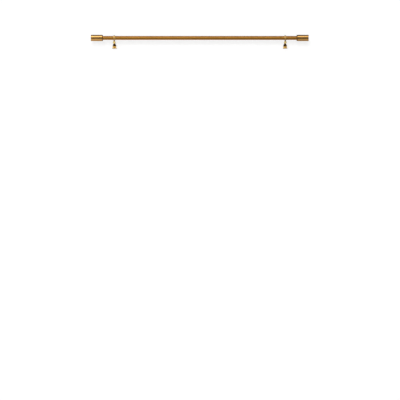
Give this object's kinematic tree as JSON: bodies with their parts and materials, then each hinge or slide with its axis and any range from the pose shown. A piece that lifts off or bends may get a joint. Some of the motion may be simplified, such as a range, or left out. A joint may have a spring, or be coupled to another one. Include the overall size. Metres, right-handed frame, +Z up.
{
  "type": "curtain rod with brackets",
  "caption": "Straight brass curtain rod through the closed rings of wall brackets, with plain cylindrical end caps; the brackets hide their wall screws and curtains hang from the rod.",
  "frame": {"origin": "on the wall plane, at the centre of the rectangle of wall screw holes, midway between the brackets", "axes": "+X along the rod to the right as seen from the room, +Y into the wall, +Z up"},
  "size_m": [1.4, 0.105, 0.0855],
  "materials": {
    "rod_brass": "fine lengthwise brushing under lacquer",
    "cap_brass": "polished, with faint turning marks",
    "bracket_brass": "polished to satin",
    "screw_steel": "dark oiled steel",
    "block_steel": "zinc plated"
  },
  "bodies": {
    "brackets": {"left_ring": "bracket_brass", "left_neck": "bracket_brass", "left_arm": "bracket_brass", "left_arm_bolt": "screw_steel", "left_backplate": "bracket_brass", "left_mounting_block": "block_steel", "right_ring": "bracket_brass", "right_neck": "bracket_brass", "right_arm": "bracket_brass", "right_arm_bolt": "screw_steel", "right_backplate": "bracket_brass", "right_mounting_block": "block_steel"},
    "rod": {"rod_tube": "rod_brass"},
    "left_cap": {"left_cap_shell": "cap_brass", "left_cap_bush": "cap_brass"},
    "left_cap_screw": {"left_cap_set_screw": "screw_steel"},
    "left_ring_screw": {"left_ring_set_screw": "screw_steel"},
    "left_plate_screw": {"left_lock_screw": "screw_steel"},
    "right_cap": {"right_cap_shell": "cap_brass", "right_cap_bush": "cap_brass"},
    "right_cap_screw": {"right_cap_set_screw": "screw_steel"},
    "right_ring_screw": {"right_ring_set_screw": "screw_steel"},
    "right_plate_screw": {"right_lock_screw": "screw_steel"}
  },
  "joints": [
    {"name": "rod_slide", "type": "slide", "parent": "brackets", "child": "rod", "axis": [1, 0, 0], "range_m": [-0.067, 0.067]},
    {"name": "left_cap_pull", "type": "slide", "parent": "rod", "child": "left_cap", "axis": [-1, 0, 0], "range_m": [0, 0.06]},
    {"name": "left_cap_screw_travel", "type": "slide", "parent": "left_cap", "child": "left_cap_screw", "axis": [0, 0, -1], "range_m": [0, 0.004]},
    {"name": "left_ring_screw_travel", "type": "slide", "parent": "brackets", "child": "left_ring_screw", "axis": [0, 1, 0], "range_m": [0, 0.003]},
    {"name": "left_lock_screw_travel", "type": "slide", "parent": "brackets", "child": "left_plate_screw", "axis": [0, 0, -1], "range_m": [0, 0.003]},
    {"name": "right_cap_pull", "type": "slide", "parent": "rod", "child": "right_cap", "axis": [1, 0, 0], "range_m": [0, 0.06]},
    {"name": "right_cap_screw_travel", "type": "slide", "parent": "right_cap", "child": "right_cap_screw", "axis": [0, 0, -1], "range_m": [0, 0.004]},
    {"name": "right_ring_screw_travel", "type": "slide", "parent": "brackets", "child": "right_ring_screw", "axis": [0, 1, 0], "range_m": [0, 0.003]},
    {"name": "right_lock_screw_travel", "type": "slide", "parent": "brackets", "child": "right_plate_screw", "axis": [0, 0, -1], "range_m": [0, 0.003]}
  ]
}
